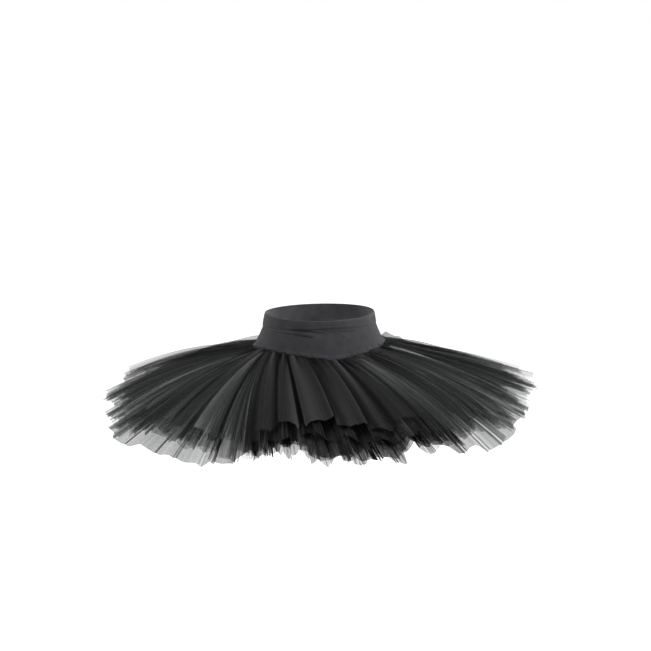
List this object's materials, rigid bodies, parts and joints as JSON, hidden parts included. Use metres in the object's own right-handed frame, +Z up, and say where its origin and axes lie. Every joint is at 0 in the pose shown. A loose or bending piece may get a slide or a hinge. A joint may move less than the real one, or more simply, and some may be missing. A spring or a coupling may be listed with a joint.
{
  "type": "ballet tutu",
  "caption": "Black practice tutu in its worn form: a stretch knit basque with a folded elastic waistband, and gathered tiers of stiff net that stand out round the hips.",
  "frame": {"origin": "centre of the waist opening, half way up the waistband at the hips, where the wearer's waist holds the tutu", "axes": "+Z up through the waist, -Y the front of the tutu, +X the wearer's left"},
  "size_m": [0.9945, 0.9348, 0.2766],
  "materials": {
    "knit": "matt charcoal stretch jersey",
    "soft_net": "soft close black net, nearly opaque",
    "stiff_net": "stiff black nylon net, see-through in one layer"
  },
  "bodies": {
    "root": {"waistband": "knit", "basque_front": "knit", "basque_back": "knit", "hip_base": "knit", "top_tier": "soft_net", "net_tier_1": "stiff_net", "net_tier_2": "stiff_net", "net_tier_3": "stiff_net", "net_tier_4": "stiff_net", "net_tier_5": "stiff_net"}
  },
  "joints": []
}
